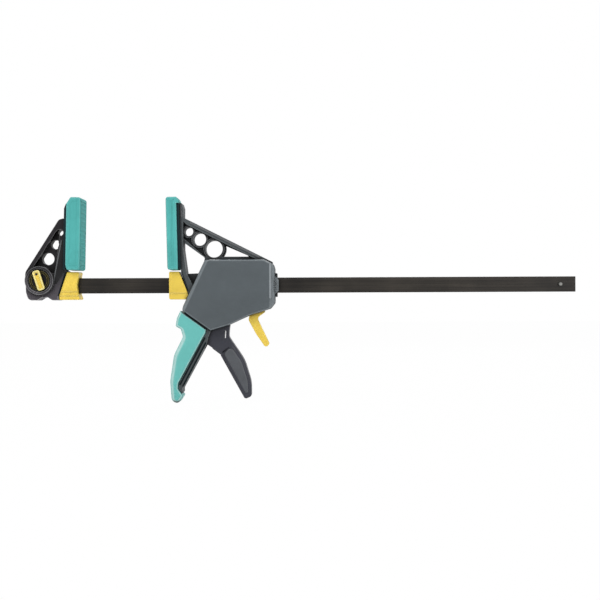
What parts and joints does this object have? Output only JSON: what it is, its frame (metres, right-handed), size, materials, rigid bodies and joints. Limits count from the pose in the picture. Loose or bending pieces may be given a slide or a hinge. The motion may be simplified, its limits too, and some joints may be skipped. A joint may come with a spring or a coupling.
{
  "type": "quick release bar clamp",
  "caption": "One-handed bar clamp: a pull trigger walks the padded moving jaw along a flat bar, a lever releases it, and a quarter-turn knob frees the fixed jaw.",
  "frame": {"origin": "Centre of the fixed pad's clamping face, on the clamp's middle plane.", "axes": "+X runs along the bar from the fixed jaw to the free end, +Z towards the tips of the pads and away from the handle, +Y across the clamp to its back."},
  "size_m": [0.6793, 0.038, 0.2533],
  "materials": {
    "black_steel": "blackened flat steel bar with fine lengthwise rolling marks",
    "bright_steel": "plain zinc-bright steel",
    "charcoal_plastic": "glass-filled charcoal plastic, finely grained",
    "grey_plastic": "grey moulded plastic, satin with a fine grain",
    "trigger_plastic": "dark grey moulded plastic, satin",
    "carrier_plastic": "black moulded plastic",
    "teal_rubber": "soft teal moulded rubber, matt",
    "yellow_plastic": "yellow moulded plastic, satin"
  },
  "bodies": {
    "bar_and_fixed_jaw": {"bar": "black_steel", "stop_pin": "black_steel", "fixed_jaw": "charcoal_plastic", "fixed_carrier": "carrier_plastic", "fixed_pad": "teal_rubber", "fixed_shoe": "yellow_plastic"},
    "jaw_lock": {"lock_knob": "charcoal_plastic", "lock_grip": "yellow_plastic", "lock_shaft": "bright_steel", "lock_washer": "bright_steel", "lock_nut": "bright_steel"},
    "moving_jaw": {"jaw_frame": "charcoal_plastic", "moving_carrier": "carrier_plastic", "moving_pad": "teal_rubber", "moving_shoe": "yellow_plastic", "rear_guide": "charcoal_plastic", "front_shell": "grey_plastic", "back_shell": "grey_plastic", "soft_grip": "teal_rubber", "shell_screws": "bright_steel", "trigger_pin": "bright_steel", "drive_spring": "bright_steel", "release_pin": "bright_steel", "brake_spring": "bright_steel"},
    "pull_trigger": {"trigger": "trigger_plastic"},
    "drive": {"drive_plates": "bright_steel"},
    "release": {"release_lever": "yellow_plastic"},
    "brake": {"brake_plate": "bright_steel"}
  },
  "joints": [
    {"name": "moving_jaw_slide", "type": "slide", "parent": "bar_and_fixed_jaw", "child": "moving_jaw", "axis": [1, 0, 0], "range_m": [-0.1025, 0.3455]},
    {"name": "lock_turn", "type": "hinge", "parent": "bar_and_fixed_jaw", "child": "jaw_lock", "pos_m": [-0.05148, 0, -0.05705], "axis": [0, 1, 0], "range_deg": [0, 90]},
    {"name": "trigger_squeeze", "type": "hinge", "parent": "moving_jaw", "child": "pull_trigger", "pos_m": [0.16802, 0, -0.10175], "axis": [0, 1, 0], "range_deg": [0, 24], "stiffness_Nm_per_rad": 0.35, "springref_deg": -17.19},
    {"name": "drive_push", "type": "slide", "parent": "moving_jaw", "child": "drive", "axis": [1, 0, 0], "range_m": [0, 0.0096], "deforming": ["drive_spring"]},
    {"name": "release_pull", "type": "hinge", "parent": "moving_jaw", "child": "release", "pos_m": [0.21702, 0, -0.09025], "axis": [0, 1, 0], "range_deg": [0, 15], "stiffness_Nm_per_rad": 0.15, "springref_deg": -14.32},
    {"name": "brake_lean", "type": "hinge", "parent": "moving_jaw", "child": "brake", "pos_m": [0.21802, 0, -0.04575], "axis": [0, 1, 0], "range_deg": [-3.75, 0], "deforming": ["brake_spring"]}
  ],
  "couplings": [
    {"joint": "drive_push", "follows": "trigger_squeeze", "m_per_rad": 0.0229},
    {"joint": "brake_lean", "follows": "release_pull", "ratio": -0.25}
  ]
}
